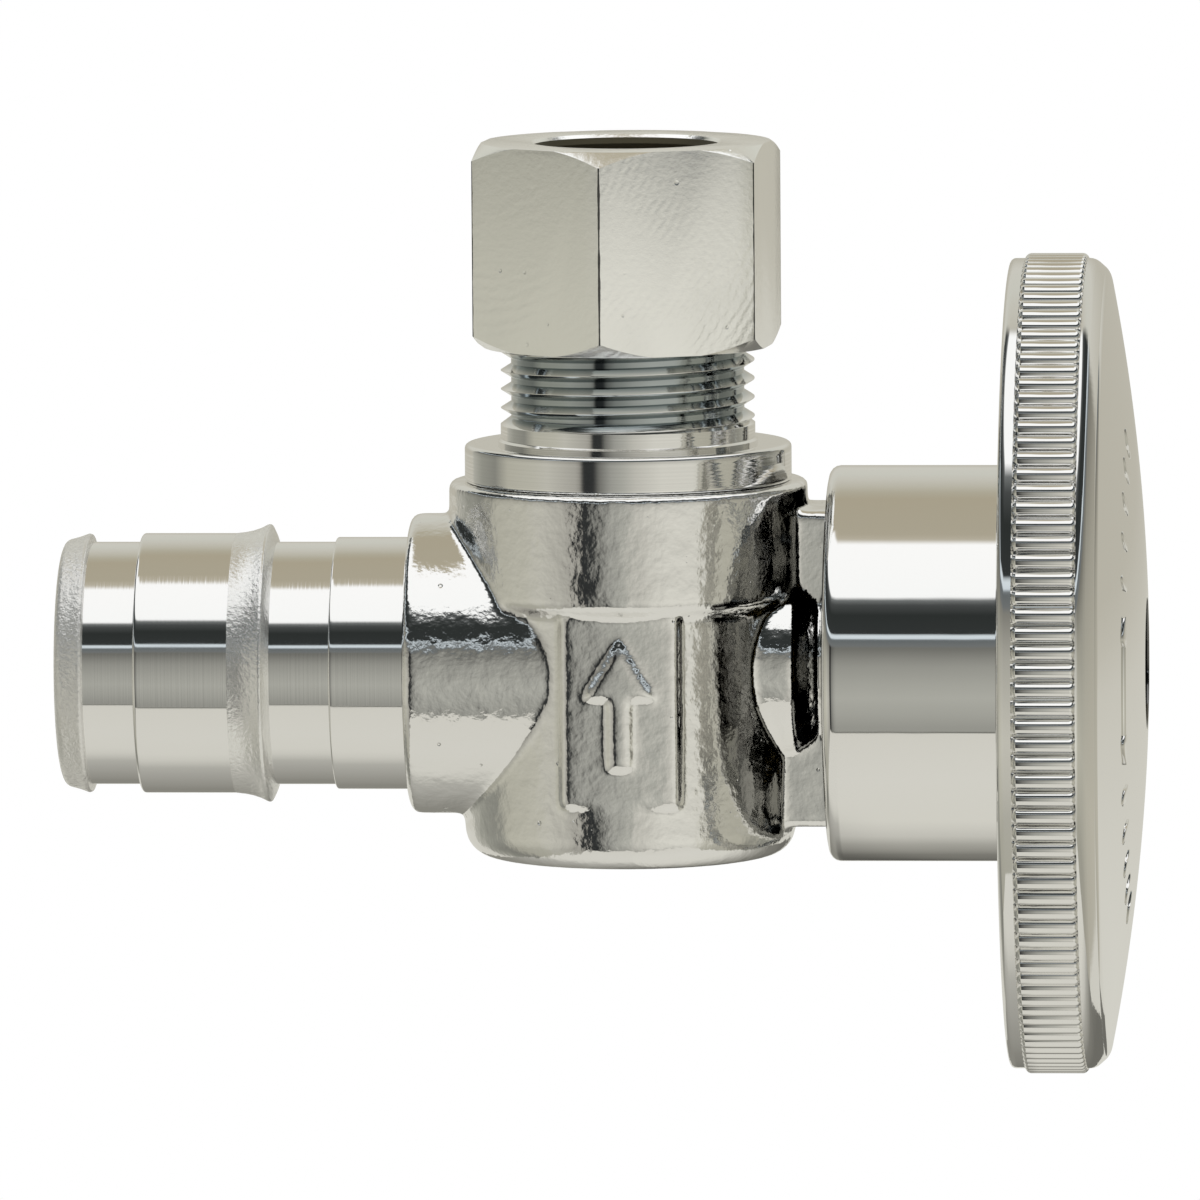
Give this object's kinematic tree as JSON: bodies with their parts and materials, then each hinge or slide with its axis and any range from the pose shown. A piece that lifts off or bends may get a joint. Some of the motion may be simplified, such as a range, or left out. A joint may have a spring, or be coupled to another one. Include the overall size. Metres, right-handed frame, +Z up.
{
  "type": "angle stop valve",
  "caption": "Chrome-plated quarter-turn angle stop valve with a push-over pipe spigot, a compression outlet facing up and a round knurled handle.",
  "frame": {"origin": "centre of the inlet shoulder, where the pipe's end stops, on the axis of the inlet and stem", "axes": "+X along the inlet and stem axis towards the handle, +Z up along the outlet axis, -Y towards the front panel"},
  "size_m": [0.0613, 0.0462, 0.0526],
  "materials": {
    "forged_chrome": "bright plate over a forged surface",
    "turned_chrome": "bright plate over turned brass",
    "nut_chrome": "satin plate over machined brass",
    "handle_plate": "bright chrome plate over moulded plastic",
    "brass": "machined",
    "seat_plastic": "white low-friction plastic",
    "black_rubber": "moulded",
    "steel": "machined"
  },
  "bodies": {
    "body": {"valve_body": "forged_chrome", "outlet_adapter": "turned_chrome", "adapter_o_ring": "black_rubber", "upper_seat": "seat_plastic", "lower_seat": "seat_plastic", "seat_backing_ring": "black_rubber", "thrust_washer": "seat_plastic", "gland_washer": "steel", "gland_nut": "brass"},
    "ball": {"ball": "brass"},
    "handle": {"handle": "handle_plate", "handle_insert": "brass", "lock_washer": "steel", "handle_screw": "brass", "stem": "brass", "stem_o_ring_inner": "black_rubber", "stem_o_ring_outer": "black_rubber"},
    "sleeve": {"compression_sleeve": "brass"},
    "nut": {"compression_nut": "nut_chrome"}
  },
  "joints": [
    {"name": "handle_turn", "type": "hinge", "parent": "body", "child": "handle", "pos_m": [0, 0, 0], "axis": [1, 0, 0], "range_deg": [-90, 0]},
    {"name": "ball_turn", "type": "hinge", "parent": "body", "child": "ball", "pos_m": [0, 0, 0], "axis": [1, 0, 0], "range_deg": [-90, 0]},
    {"name": "nut_lift", "type": "slide", "parent": "body", "child": "sleeve", "axis": [0, 0, 1], "range_m": [0, 0.00423]},
    {"name": "nut_turn", "type": "hinge", "parent": "sleeve", "child": "nut", "pos_m": [0.0123, 0, 0], "axis": [0, 0, 1], "range_deg": [0, 1440]}
  ],
  "couplings": [
    {"joint": "ball_turn", "follows": "handle_turn", "ratio": 1},
    {"joint": "nut_turn", "follows": "nut_lift", "rad_per_m": 5937.1}
  ]
}
